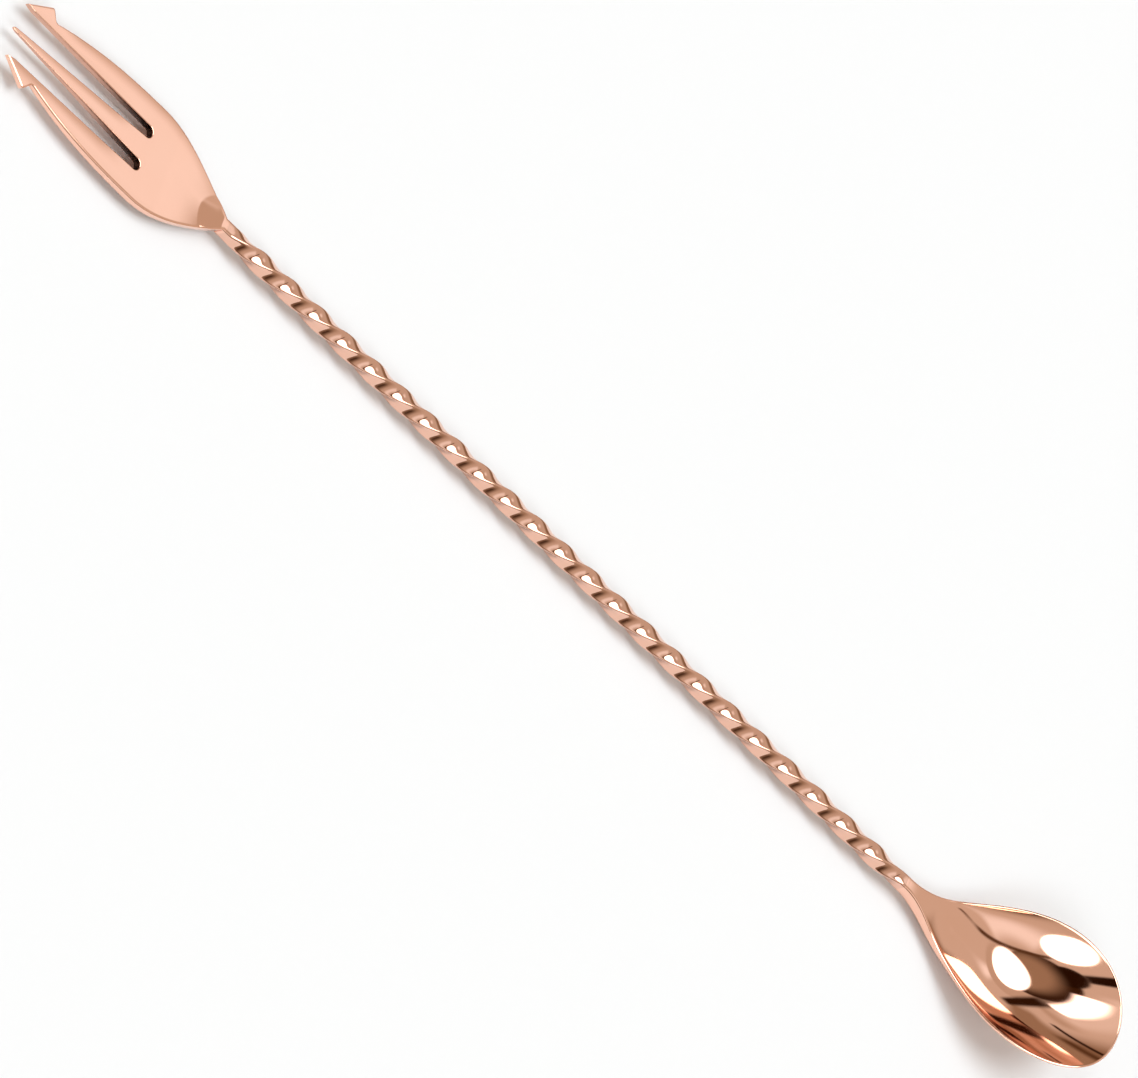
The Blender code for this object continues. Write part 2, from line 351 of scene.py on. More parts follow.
# Scales of the plate's patterns per metre, depths of its bumps in metres, and shares of its marks.
CLOUD_SCALE = 90.0
SMEAR_SCALE = 260.0
MARK_SCALE = 5200.0
MARK_STRETCH = 0.06
MARK_SHARE = 0.35
MARK_DEPTH = 2.5e-7
WAVE_SCALE = 140.0
WAVE_DEPTH = 8e-6
WORN_LEAST, WORN_MOST = 0.35, 0.68
SLOT_DULLNESS = 0.25


def copper_material(name, finish, added_haze=0.0, tone=1.0):
    """Mirror polished copper plate with faint colour, haze and polishing marks along the spoon.

    Faces that are marked as slot walls get painted shade: a dark colour that stands for the shadow under the
    fork, which they reflect. They are rougher as well.
    """
    found = bpy.data.materials.get(name)
    if found:
        return found
    material = bpy.data.materials.new(name)
    material.use_nodes = True
    tree = material.node_tree
    noise = partial(new_node, tree, "ShaderNodeTexNoise")
    bump = partial(new_node, tree, "ShaderNodeBump", Strength=1.0)
    shader = tree.nodes["Principled BSDF"]
    shader.inputs["Metallic"].default_value = 1.0
    place = tree.nodes.new("ShaderNodeTexCoord").outputs["Object"]

    cloud = noise(Vector=place, Scale=CLOUD_SCALE, Detail=3.0)
    # A tone below 1, as on the stem, darkens the plate's colour as painted shade.
    deep, bright = ((*(tone * part for part in plain), 1.0) for plain in (finish.deep, finish.bright))
    plate = colour_mix(tree, cloud.outputs["Fac"], deep, bright)
    # Painted shade: the share on the marked slot walls mixes in their dark colour.
    marked = tree.nodes.new("ShaderNodeAttribute")
    marked.attribute_name = SLOT_SHADE
    unpolished = marked.outputs["Fac"]
    feed(tree, shader.inputs["Base Color"], colour_mix(tree, unpolished, plate, (*finish.slot_wall, 1.0)))

    stretch = new_node(tree, "ShaderNodeMapping", Vector=place, Scale=(MARK_STRETCH, 1.0, 1.0))
    marks = noise(Vector=stretch.outputs["Vector"], Scale=MARK_SCALE, Detail=2.0)
    smear = noise(Vector=place, Scale=SMEAR_SCALE, Detail=4.0)
    worn = math_node(tree, "ADD", math_node(tree, "MULTIPLY", marks.outputs["Fac"], MARK_SHARE),
                     math_node(tree, "MULTIPLY", smear.outputs["Fac"], 1 - MARK_SHARE))
    haze = new_node(tree, "ShaderNodeMapRange", Value=worn, From_Min=WORN_LEAST, From_Max=WORN_MOST,
                    To_Min=finish.polish + added_haze, To_Max=finish.haze + added_haze)
    dull = math_node(tree, "MULTIPLY_ADD", unpolished, SLOT_DULLNESS, haze.outputs["Result"])
    feed(tree, shader.inputs["Roughness"], dull)

    wave = noise(Vector=place, Scale=WAVE_SCALE, Detail=1.0)
    rolling = bump(Distance=WAVE_DEPTH, Height=wave.outputs["Fac"])
    scratch = bump(Distance=MARK_DEPTH, Height=marks.outputs["Fac"], Normal=rolling.outputs["Normal"])
    feed(tree, shader.inputs["Normal"], scratch.outputs["Normal"])
    return material


# Stem


def stem_inputs(sizes):
    """Values for the stem's node tree, each under the name of its input."""
    values = {"Start": STEM_LOW.x, "Length": STEM_HIGH.x - STEM_LOW.x, "Axis Height": AXIS_HEIGHT}
    for name in sizes.__annotations__:
        values[name.replace("_", " ").title()] = getattr(sizes, name)
    return values


def stem_tree(values):
    """Node tree of the stem: a cylinder whose points are set on a square section, turned by the twist."""
    tree = bpy.data.node_groups.new("twisted_bar", "GeometryNodeTree")
    interface = tree.interface
    interface.new_socket("Geometry", in_out="INPUT", socket_type="NodeSocketGeometry")
    for name, value in values.items():
        kind = "NodeSocketInt" if isinstance(value, int) else "NodeSocketFloat"
        interface.new_socket(name, in_out="INPUT", socket_type=kind)
    interface.new_socket("Material", in_out="INPUT", socket_type="NodeSocketMaterial")
    interface.new_socket("Geometry", in_out="OUTPUT", socket_type="NodeSocketGeometry")
    given = tree.nodes.new("NodeGroupInput").outputs
    calculate = partial(math_node, tree)

    def held(value):
        return calculate("MINIMUM", calculate("MAXIMUM", value, 0.0), 1.0)

    def eased(distance, length):
        angle = calculate("MULTIPLY", held(calculate("DIVIDE", distance, length)), math.pi)
        return calculate("MULTIPLY_ADD", calculate("COSINE", angle), -0.5, 0.5)

    def mixed(start, end, share):
        return calculate("MULTIPLY_ADD", calculate("SUBTRACT", end, start), share, start)

    bar = new_node(tree, "GeometryNodeMeshCylinder", Vertices=given["Section Points"],
                   Side_Segments=given["Rings"], Fill_Segments=1, Radius=1.0, Depth=given["Length"])
    bar.fill_type = "NGON"
    spot = new_node(tree, "ShaderNodeSeparateXYZ",
                    Vector=tree.nodes.new("GeometryNodeInputPosition").outputs["Position"]).outputs
    round_bar = calculate("ARCTAN2", spot["Y"], spot["X"])
    from_start = calculate("MULTIPLY_ADD", given["Length"], 0.5, spot["Z"])

    # Share of the twisted length, and the share of the twist that is done there.
    twist_end = calculate("SUBTRACT", given["Length"], given["Plain Bowl End"])
    twist_length = calculate("SUBTRACT", twist_end, given["Plain Fork End"])
    into_twist = calculate("SUBTRACT", from_start, given["Plain Fork End"])
    share = held(calculate("DIVIDE", into_twist, twist_length))
    phase = calculate("MULTIPLY", calculate("SUBTRACT", share, given["Tightest Share"]), 2 * math.pi)
    offset = calculate("MULTIPLY", given["Tightest Share"], 2 * math.pi)
    wave = calculate("ADD", calculate("SINE", phase), calculate("SINE", offset))
    extra = calculate("DIVIDE", calculate("MULTIPLY", wave, given["Tightening"]), 2 * math.pi)
    quarters = calculate("MULTIPLY", given["Quarter Turns"], -math.pi / 2)
    turn = calculate("MULTIPLY_ADD", quarters, calculate("ADD", share, extra), round_bar)

    # The bar narrows and its edges soften towards both ends.
    to_bowl = calculate("SUBTRACT", twist_end, from_start)
    from_end = calculate("MINIMUM", into_twist, to_bowl)
    side = mixed(given["End Side"], given["Bar Side"], eased(from_end, given["End Taper"]))
    near_fork = mixed(given["Fork Squareness"], given["Squareness"], eased(into_twist, given["Soft End"]))
    power = mixed(given["Bowl Squareness"], near_fork, eased(to_bowl, given["Soft End"]))
    powers = [calculate("POWER", calculate("ABSOLUTE", calculate(wave_kind, round_bar)), power)
              for wave_kind in ("COSINE", "SINE")]
    push = calculate("POWER", calculate("ADD", *powers), calculate("DIVIDE", -1.0, power))
    radius = calculate("MULTIPLY", calculate("MULTIPLY", side, 0.5), push)

    placed = new_node(tree, "ShaderNodeCombineXYZ", X=calculate("ADD", given["Start"], from_start),
                      Y=calculate("MULTIPLY", radius, calculate("COSINE", turn)),
                      Z=calculate("MULTIPLY_ADD", radius, calculate("SINE", turn), given["Axis Height"]))
    swept = new_node(tree, "GeometryNodeSetPosition", Geometry=bar.outputs["Mesh"],
                     Position=placed.outputs["Vector"])
    smooth = new_node(tree, "GeometryNodeSetShadeSmooth", Geometry=swept.outputs["Geometry"])
    real = new_node(tree, "GeometryNodeRealizeInstances", Geometry=smooth.outputs["Geometry"])
    plated = new_node(tree, "GeometryNodeSetMaterial", Geometry=real.outputs["Geometry"],
                      Material=given["Material"])
    out = tree.nodes.new("NodeGroupOutput")
    tree.links.new(plated.outputs["Geometry"], out.inputs["Geometry"])
    return tree


def set_inputs(modifier, values):
    """Set a node modifier's inputs by their sockets' identifiers."""
    sockets = {item.name: item.identifier for item in modifier.node_group.interface.items_tree
               if item.item_type == "SOCKET" and item.in_out == "INPUT"}
    for name, value in values.items():
        modifier[sockets[name]] = value


def bake_nodes(piece, modifier):
    """Turn a node modifier's result into the piece's own plain mesh."""
    evaluated = piece.evaluated_get(bpy.context.evaluated_depsgraph_get())
    mesh = bpy.data.meshes.new_from_object(evaluated)
    piece.modifiers.remove(modifier)
    empty = piece.data
    piece.data = mesh
    mesh.name = piece.name
    bpy.data.meshes.remove(empty)


def build_stem(settings):
    # The stem's copper is darkened as painted shade.
    material = copper_material("copper_stem", settings.copper, tone=settings.copper.stem_tone)
    values = stem_inputs(settings.stem)
    piece = bpy.data.objects.new("stem_twisted", bpy.data.meshes.new("stem_twisted"))
    bpy.context.scene.collection.objects.link(piece)
    modifier = piece.modifiers.new("twisted_bar", "NODES")
    modifier.node_group = stem_tree(values)
    set_inputs(modifier, {**values, "Material": material})
    bake_nodes(piece, modifier)
    piece.data.set_sharp_from_angle(angle=SHARP_ANGLE)
    if not piece.data.polygons:
        raise RuntimeError("the stem came out empty")
    fit_piece(piece, "twisted_stem")


# Bowl

# Numbers of rows along the bowl, of columns across it, and of steps round each corner of its lip.
BACK_ROWS = 130
NOSE_ROWS = 70
BOWL_COLUMNS = 61
CORNER_STEPS = 5


class BowlForm:
    """Curves of the bowl, in metres from the neck's end along X and from the bar's axis along Z."""

    def __init__(self, sizes, neck_side):
        self.s = sizes
        self.neck_half = neck_side / 2
        self.widest = sizes.length - sizes.nose

    def outer_half(self, x):
        back = between(self.neck_half, self.s.half_width, ease(x / self.widest) ** self.s.flare_power)
        round_nose = self.s.half_width * np.sqrt(np.clip(1 - ((x - self.widest) / self.s.nose) ** 2, 0, 1))
        return np.where(x <= self.widest, back, round_nose)

    def land(self, x):
        return between(self.s.neck_land, self.s.land, ease(x / self.s.neck_thins))

    def inner_half(self, x):
        land = self.s.land
        nose = (self.s.half_width - land) * np.sqrt(
            np.clip(1 - ((x - self.widest) / (self.s.nose - land)) ** 2, 0, 1))
        return np.where(x <= self.widest, self.outer_half(x) - self.land(x), nose)

    def rim(self, x):
        neck_top = self.neck_half * (1 - ease(x / self.s.neck_dip))
        rise = ease((x - self.s.rim_rise_start) / (self.s.length - self.s.rim_rise_start))
        return neck_top + self.s.rim_rise * rise

    def edge(self, x):
        return between(2 * self.neck_half, self.s.sheet, ease(x / self.s.neck_thins))

    def wall(self, x):
        return between(2 * self.neck_half, self.s.lip_wall, ease(x / self.s.neck_thins))

    def opened(self, x):
        """Share of the full width that the hollow has, from 0 at the neck to 1 at the widest place."""
        narrow = self.neck_half - self.s.neck_land
        return np.clip((self.inner_half(x) - narrow) / (self.s.half_width - self.s.land - narrow), 0, 1)

    def inside(self, x, y):
        """Height of the hollow: full in section at the back, and part of a paraboloid at the nose."""
        half = np.maximum(self.inner_half(x), TINY)
        fade = ease((x / self.widest - self.s.fullness_start) / (1 - self.s.fullness_start))
        section = np.clip(1 - (y / half) ** 2, 0, 1) ** between(self.s.back_fullness, 1.0, fade)
        along = (x - self.widest) / (self.s.nose - self.s.land)
        across = y / (self.s.half_width - self.s.land)
        nose = np.clip(1 - along ** 2 - across ** 2, 0, 1)
        return self.rim(x) - self.s.depth * np.where(
            x <= self.widest, self.opened(x) ** self.s.hollow_power * section, nose)

    def underside(self, x, y):
        half = np.maximum(self.outer_half(x), TINY)
        back = self.edge(x) + self.s.depth * self.opened(x) ** self.s.belly_power - self.wall(x)
        deepest = self.s.sheet - self.s.lip_wall + self.s.depth
        nose = deepest * (half / self.s.half_width) ** self.s.belly_power
        belly = np.where(x <= self.widest, back, nose)
        return self.rim(x) - self.wall(x) - belly * (1 - np.clip((y / half) ** 2, 0, 1))


def curve_through(start, corner, end):
    """Points of a rounded corner in (inset, height), each an array over the stations."""
    for step in range(CORNER_STEPS + 1):
        t = step / CORNER_STEPS
        yield tuple((1 - t) ** 2 * a + 2 * t * (1 - t) * b + t ** 2 * c
                    for a, b, c in zip(start, corner, end))


def bowl_rings(form):
    """Places of the sections along the bowl, and the points round each of them.

    A section runs across the hollow, round one lip, across the underside and round the other lip.
    """
    sizes = form.s
    back = form.widest * np.linspace(0, 1, BACK_ROWS, endpoint=False)
    turn = np.linspace(0, np.pi / 2, NOSE_ROWS)
    x0 = np.concatenate([back, form.widest + sizes.nose * np.sin(turn)])
    y0 = np.concatenate([form.outer_half(back), sizes.half_width * np.cos(turn)])
    inward_x = np.concatenate([np.zeros(BACK_ROWS), np.sin(turn)])
    inward_y = np.concatenate([np.ones(BACK_ROWS), np.cos(turn)])
    zero = np.zeros(len(x0))
    thinned = ease(x0 / sizes.neck_thins)
    outer_round = between(sizes.neck_round, sizes.outer_round, thinned)
    land = form.land(x0)
    wall = form.wall(x0)

    def contour(inset):
        return x0 - inset * inward_x, y0 - inset * inward_y

    inner_inset = land + sizes.inner_round
    inner_x, inner_y = contour(inner_inset)
    inner_drop = form.inside(inner_x, inner_y) - form.rim(inner_x)
    under_x, under_y = contour(outer_round)
    under_drop = form.underside(under_x, under_y) - form.rim(under_x)

    lip = [*curve_through((inner_inset, inner_drop), (land, zero), (land - sizes.inner_round, zero)),
           *curve_through((outer_round, zero), (zero, zero), (zero, -outer_round)),
           *curve_through((zero, outer_round - wall), (zero, -wall), (outer_round, under_drop))][1:-1]
    shares = np.sin(np.pi / 2 * np.linspace(1, -1, BOWL_COLUMNS))

    def lip_points(side):
        rows = []
        for inset, drop in lip:
            x, y = contour(inset)
            rows.append(np.stack([x, side * y, form.rim(x) + drop], axis=1))
        return rows

    rows = []
    for share in shares:
        y = inner_y * share
        rows.append(np.stack([inner_x, y, form.inside(inner_x, y)], axis=1))
    rows += lip_points(-1)
    for share in shares[::-1]:
        y = under_y * share
        rows.append(np.stack([under_x, y, form.underside(under_x, y)], axis=1))
    rows += lip_points(1)[::-1]
    return x0, np.stack(rows, axis=1)


def build_bowl(settings):
    sizes = settings.bowl
    along, rings = bowl_rings(BowlForm(sizes, settings.stem.end_side))
    necked = along < sizes.neck_blend
    neck = rings[necked]
    soften_section(neck, ease(neck[..., 0] / sizes.neck_blend), np.abs(neck[..., 1]).max(1, keepdims=True),
                   neck[..., 2].min(1, keepdims=True), neck[..., 2].max(1, keepdims=True),
                   settings.stem.bowl_squareness)
    rings[necked] = neck
    rings[..., 0] += BOWL_LOW.x
    rings[..., 2] += AXIS_HEIGHT
    per_ring = rings.shape[1]
    faces = ring_faces(len(rings), per_ring)
    faces.append(tuple(range(per_ring)))
    material = copper_material("copper_bowl", settings.copper)
    fit_piece(make_piece("bowl_pressed", rings.reshape(-1, 3).tolist(), faces, material), "spoon_bowl")


# Fork

# Lengths over which the crown fades and the slots' walls turn dark with painted shade, and powers of the
# fork's curves.
CROWN_FADE = 0.010
FLANK_FADE = 0.008
DARK_WALL = 0.018
DARK_WALL_FADE = 0.016
DARK_WALL_LEAST = 0.25
SHORTEST_RAMP = 1e-6
PALM_POWER = 1.3
SLOPE_POWER = 1.2
NECK_POWER = 4

# Numbers of points that stand for the edges, and of rows and columns in the strips.
ARC_POINTS = 60
SLOT_POINTS = 900
OUTLINE_POINTS = 1500
BARB_SAMPLES = 9
POINT_ROWS = 14
TIP_ROWS = 12
TIP_POWER = 1.6
BARB_ROWS = 14
TINE_ROWS = 74
ARC_ROWS = 16
BRIDGE_ROWS = 8
BRIDGE_POWER = 1.8
NECK_ROWS = 90
STRIP_COLUMNS = 25
DISTANCE_BATCH = 2000


class ForkForm:
    """Edges and heights of the fork, in metres from the centre tine's point along X."""

    def __init__(self, sizes, neck_side):
        self.s = sizes
        self.neck_half = neck_side / 2
        self.root = sizes.blade - sizes.bridge
        self.arc = self.root - sizes.slot_radius
        self.barb = sizes.setback + sizes.barb_length
        self.notch = self.barb + sizes.notch_length
        self.length = sizes.blade + sizes.neck
        self.slot_line, self.outer_line = self.edge_lines()

    def slot_bulge(self, x):
        return np.sqrt(np.clip(self.s.slot_radius ** 2 - np.clip(x - self.arc, 0, None) ** 2, 0, None))

    def centre_half(self, x):
        s = self.s
        run = (x - s.point_back) / (s.point_length - s.point_back)
        point = s.point_half_width * np.sqrt(np.clip(1 - (1 - run) ** 2, 0, 1))
        tine = np.interp(x, [s.point_length, self.arc], [s.point_half_width, s.slot_offset - s.slot_radius])
        arc = s.slot_offset - self.slot_bulge(x)
        return np.where(x < s.point_length, point, np.where(x < self.arc, tine, arc))

    def slot_outer(self, x):
        s = self.s
        tine = np.interp(x, [s.setback, s.setback + s.tip_length, self.arc],
                         [s.tip_offset, s.inner_offset, s.slot_offset + s.slot_radius])
        return np.where(x < self.arc, tine, s.slot_offset + self.slot_bulge(x))

    def outer_half(self, x):
        s = self.s
        steps = np.linspace(-1, 1, BARB_SAMPLES) * s.barb_round
        fade = np.clip((x - s.setback) / s.barb_length, 0, 1)
        barbed = np.mean([self.sharp_outer_half(x + step * fade) for step in steps], axis=0)
        neck = between(self.neck_half, s.half_width, self.spread(x))
        return np.where(x < (self.notch + s.blade) / 2, barbed,
                        np.where(x < s.blade, self.sharp_outer_half(x), neck))

    def sharp_outer_half(self, x):
        s = self.s
        barbed = np.interp(x, [s.setback, self.barb, self.notch],
                           [s.tip_offset, s.barb_offset, s.notch_offset])
        share = np.clip((x - self.notch) / (s.blade - self.notch), 0, 1)
        flank = between(s.notch_offset, s.half_width, 1 - (1 - share) ** s.flank_power)
        return np.where(x < self.notch, barbed, flank)

    def spread(self, x):
        return np.cos(np.pi / 2 * np.clip((x - self.s.blade) / self.s.neck, 0, 1))

    def edge_lines(self):
        """Dense points along the slots' edges and along the outer edge, for one half of the outline."""
        s = self.s
        arc = self.root - s.slot_radius * (1 - np.cos(np.linspace(np.pi / 2, 0, ARC_POINTS)))
        near = np.concatenate([between(s.point_back, s.point_length, np.linspace(0, 1, ARC_POINTS) ** 2),
                               np.linspace(s.point_length, self.arc, SLOT_POINTS), arc])
        far = np.concatenate([np.linspace(s.setback, self.arc, SLOT_POINTS), arc])
        out = np.linspace(s.setback, self.length, OUTLINE_POINTS)
        slots = np.concatenate([np.stack([near, self.centre_half(near)], 1),
                                np.stack([far, self.slot_outer(far)], 1)])
        return slots, np.stack([out, self.outer_half(out)], 1)

    def rounding(self, distance, radius):
        inside = np.clip(radius - distance, 0, radius)
        return radius - np.sqrt(radius ** 2 - inside ** 2)

    def edge_fall(self, slot_distance, outer_distance):
        """How far the rounded edges fall, with the slots' edges sharper than the outer ones."""
        return np.maximum(self.rounding(slot_distance, self.s.slot_round),
                          self.rounding(outer_distance, self.s.edge_round))

    def crown(self, x, y, low, high, slot_low, slot_high):
        """How far a face falls towards its low and high edges, each a slot's edge or the outer one."""
        in_tine = ease((self.arc - x) / CROWN_FADE)
        on_flank = ease((x - self.notch) / FLANK_FADE) * np.clip((self.length - x) / self.s.neck, 0, 1)

        def fall(distance, by_slot):
            return np.clip(1 - distance / self.s.crown_width, 0, 1) ** 2 * (in_tine if by_slot else on_flank)

        return self.s.crown * (fall(high - y, slot_high) + self.s.crown_left * fall(y - low, slot_low))

    def face(self, x, y):
        """Height of the face: flat on the tines, rising in the palm, then up the ramp to the bar."""
        s = self.s
        foot = self.length - s.ramp + np.where(y > 0, s.ramp_curve_right, s.ramp_curve) * y ** 2
        start = self.length - s.palm_run
        run = np.clip((x - start) / (foot - start), 0, 1) ** PALM_POWER
        climb = np.clip((x - foot) / np.maximum(self.length - s.ramp_top - foot, SHORTEST_RAMP), 0, 1)
        return s.face_rise + s.palm_rise * run + (self.neck_half - s.face_rise - s.palm_rise) * climb

    def unpolished(self, x):
        """Share of painted shade on the slot walls, standing for the shadow that they reflect: all of it at
        the slots' roots.
        """
        return between(DARK_WALL_LEAST, 1.0, ease((x - self.arc + DARK_WALL) / DARK_WALL_FADE))

    def slope(self, x):
        """How far the centre tine slopes down towards its point."""
        return self.s.point_drop * np.clip(1 - x / self.arc, 0, 1) ** SLOPE_POWER

    def back(self, x):
        """Height of the underside."""
        s = self.s
        blade = s.face_rise - s.thickness + (s.thickness - s.tip_thickness) * np.clip(1 - x / s.blade, 0, 1)
        return between(blade, -self.neck_half, (1 - self.spread(x)) ** NECK_POWER)


def line_distance(line, x, y):
    """Distance in plan from each point to a line of dense points and to its mirror image."""
    flat_x, flat_y = x.ravel(), np.abs(y.ravel())
    found = np.empty(len(flat_x))
    for start in range(0, len(flat_x), DISTANCE_BATCH):
        end = start + DISTANCE_BATCH
        dx = flat_x[start:end, None] - line[None, :, 0]
        dy = flat_y[start:end, None] - line[None, :, 1]
        found[start:end] = np.sqrt((dx * dx + dy * dy).min(axis=1))
    return found.reshape(x.shape)


def fork_stations(form):
    """Places along the fork: one row of them for the centre tine, the outer tines and the palm."""
    s = form.s
    quarter = partial(np.linspace, 0, np.pi / 2)
    behind_barb = [np.linspace(form.barb, form.notch, BARB_ROWS)[1:],
                   np.linspace(form.notch, form.arc, TINE_ROWS)[1:-1],
                   form.arc + s.slot_radius * np.sin(quarter(ARC_ROWS))]
    point = between(s.point_back, s.point_length, np.sin(quarter(POINT_ROWS)) ** 2)
    tip = s.setback + s.tip_length * np.linspace(0, 1, TIP_ROWS) ** TIP_POWER
    centre = [point, np.linspace(s.point_length, form.barb, BARB_ROWS)[1:], *behind_barb]
    outer = [tip, np.linspace(s.setback + s.tip_length, form.barb, BARB_ROWS)[1:], *behind_barb]
    palm = [form.root + s.bridge * np.linspace(0, 1, BRIDGE_ROWS) ** BRIDGE_POWER,
            np.linspace(s.blade, form.length, NECK_ROWS)[1:]]
    return [np.concatenate(rows) for rows in (centre, outer, palm)]


# A strip runs along the fork between two edges. Each edge is an outer one, a slot's, or joined to a strip.
Strip = namedtuple("Strip", "part x low high low_side high_side")
OUTER_SIDE = "outer"
SLOT_SIDE = "slot"
JOINED = None


def fork_strips(form):
    """Three tines, and the palm in three parts that meet the tines."""
    centre_x, outer_x, palm_x = fork_stations(form)
    centre, slot = form.centre_half(centre_x), form.slot_outer(outer_x)
    outer, palm = form.outer_half(outer_x), form.outer_half(palm_x)
    split = form.s.slot_offset * palm / palm[0]
    return (Strip("centre tine", centre_x, -centre, centre, SLOT_SIDE, SLOT_SIDE),
            Strip("outer tine", outer_x, slot, outer, SLOT_SIDE, OUTER_SIDE),
            Strip("outer tine", outer_x, -outer, -slot, OUTER_SIDE, SLOT_SIDE),
            Strip("palm", palm_x, -split, split, JOINED, JOINED),
            Strip("palm", palm_x, split, palm, JOINED, OUTER_SIDE),
            Strip("palm", palm_x, -palm, -split, OUTER_SIDE, JOINED))


def strip_layers(form, strip, squareness):
    """Points of a strip's face and of its underside, by rows and columns."""
    across = (np.sin(np.pi / 2 * np.linspace(-1, 1, STRIP_COLUMNS)) + 1) / 2
    low, high = strip.low[:, None], strip.high[:, None]
    y = between(low, high, across)
    x = np.repeat(strip.x[:, None], STRIP_COLUMNS, axis=1)
    slot_distance = line_distance(form.slot_line, x, y)
    outer_distance = line_distance(form.outer_line, x, y)
    for column, side in ((0, strip.low_side), (-1, strip.high_side)):
        if side == SLOT_SIDE:
            slot_distance[:, column] = 0.0
        elif side == OUTER_SIDE:
            outer_distance[:, column] = 0.0
        else:
            slot_distance[0, column] = 0.0
    fall = form.edge_fall(slot_distance, outer_distance)
    outer = form.outer_half(strip.x)[:, None]
    if strip.part == "palm":
        low, high = -outer, outer
    top = form.face(x, y) - fall - form.crown(x, y, low, high, strip.low_side == SLOT_SIDE,
                                              strip.high_side == SLOT_SIDE)
    if strip.part == "centre tine":
        top -= form.slope(x)
    layers = [np.stack([x, y, heights], axis=2) for heights in (top, form.back(x) + fall)]
    for layer in layers:
        if strip.part == "palm":
            soften_section(layer, ease((form.length - x) / form.s.neck_blend), outer, form.back(x),
                           form.face(x, 0.0 * y), squareness)
        layer += (FORK_LOW.x, 0.0, AXIS_HEIGHT)
    return layers


def strip_faces(form, strip, first):
    """Faces of a strip whose points start at first, and the pairs that give its walls in the slots their
    share of painted shade.

    The strip has walls along its free sides, and the palm has one where it meets the bar.
    """
    under = len(strip.x) * STRIP_COLUMNS
    last_row = first + under - STRIP_COLUMNS
    faces, slot_shades = [], []
    for x, row in zip(strip.x, range(first, last_row, STRIP_COLUMNS)):
        for a in range(row, row + STRIP_COLUMNS - 1):
            quad = (a, a + 1, a + STRIP_COLUMNS + 1, a + STRIP_COLUMNS)
            faces.append(quad)
            faces.append(tuple(index + under for index in reversed(quad)))
        for a, side in ((row, strip.low_side), (row + STRIP_COLUMNS - 1, strip.high_side)):
            if side == SLOT_SIDE:
                slot_shades.append((len(faces), form.unpolished(x)))
            if side != JOINED:
                faces.append((a, a + STRIP_COLUMNS, a + STRIP_COLUMNS + under, a + under))
    if strip.part == "palm":
        for a in range(last_row, last_row + STRIP_COLUMNS - 1):
            faces.append((a, a + 1, a + 1 + under, a + under))
    return faces, slot_shades


def build_fork(settings):
    form = ForkForm(settings.fork, settings.stem.end_side)
    points, faces, slot_shades = [], [], []
    for strip in fork_strips(form):
        new_faces, new_walls = strip_faces(form, strip, len(points))
        slot_shades += [(len(faces) + number, share) for number, share in new_walls]
        faces += new_faces
        for layer in strip_layers(form, strip, settings.stem.fork_squareness):
            points += layer.reshape(-1, 3).tolist()
    material = copper_material("copper_fork", settings.copper)
    fit_piece(make_piece("fork_trident", points, faces, material, slot_shades), "trident_fork")


# Welds

WELD_POINTS = 96


def build_welds(settings):
    """Two short lengths of the bar's section, each polished flush from one end to the other."""
    stem = settings.stem
    angle = np.linspace(0, 2 * np.pi, WELD_POINTS, endpoint=False)
    material = copper_material("copper_weld", settings.copper, settings.copper.weld_haze)
    for node, name, start, end, power in (
            ("fork_weld", "weld_fork", FORK_HIGH.x, STEM_LOW.x, stem.fork_squareness),
            ("bowl_weld", "weld_bowl", STEM_HIGH.x, BOWL_LOW.x, stem.bowl_squareness)):
        section = bar_radius(angle, stem.end_side, power)
        rings = []
        for share in np.linspace(0, 1, settings.weld.rings):
            radius = section + settings.weld.bead * math.sin(math.pi * share)
            rings.append(np.stack([np.full(WELD_POINTS, between(start, end, share)), radius * np.cos(angle),
                                   AXIS_HEIGHT + radius * np.sin(angle)], axis=1))
        faces = ring_faces(len(rings), WELD_POINTS)
        faces.append(tuple(range(WELD_POINTS)))
        faces.append(tuple(range((len(rings) - 1) * WELD_POINTS, len(rings) * WELD_POINTS)))
        fit_piece(make_piece(name, np.concatenate(rings).tolist(), faces, material), node)


# Studio

# Powers of red, green and blue in a warm wall, limits of the ceiling's pattern, and the floor's paper grain.
WARMTH = (1.0, 1.3, 1.67)
LOWEST_CEILING = 0.02
BEAM_END_SOFTNESS = 4
PAPER_SCALE = 400.0
PAPER_DEPTH = 0.0001
PAPER_STRENGTH = 0.05
FLOOR_SIDES = 96

Panel = namedtuple("Panel", "name azimuth half_azimuth elevation half_elevation soft level")
Roundel = namedtuple("Roundel", "name x y radius soft level")
Beam = namedtuple("Beam", "name x y turn half_length half_width soft level")

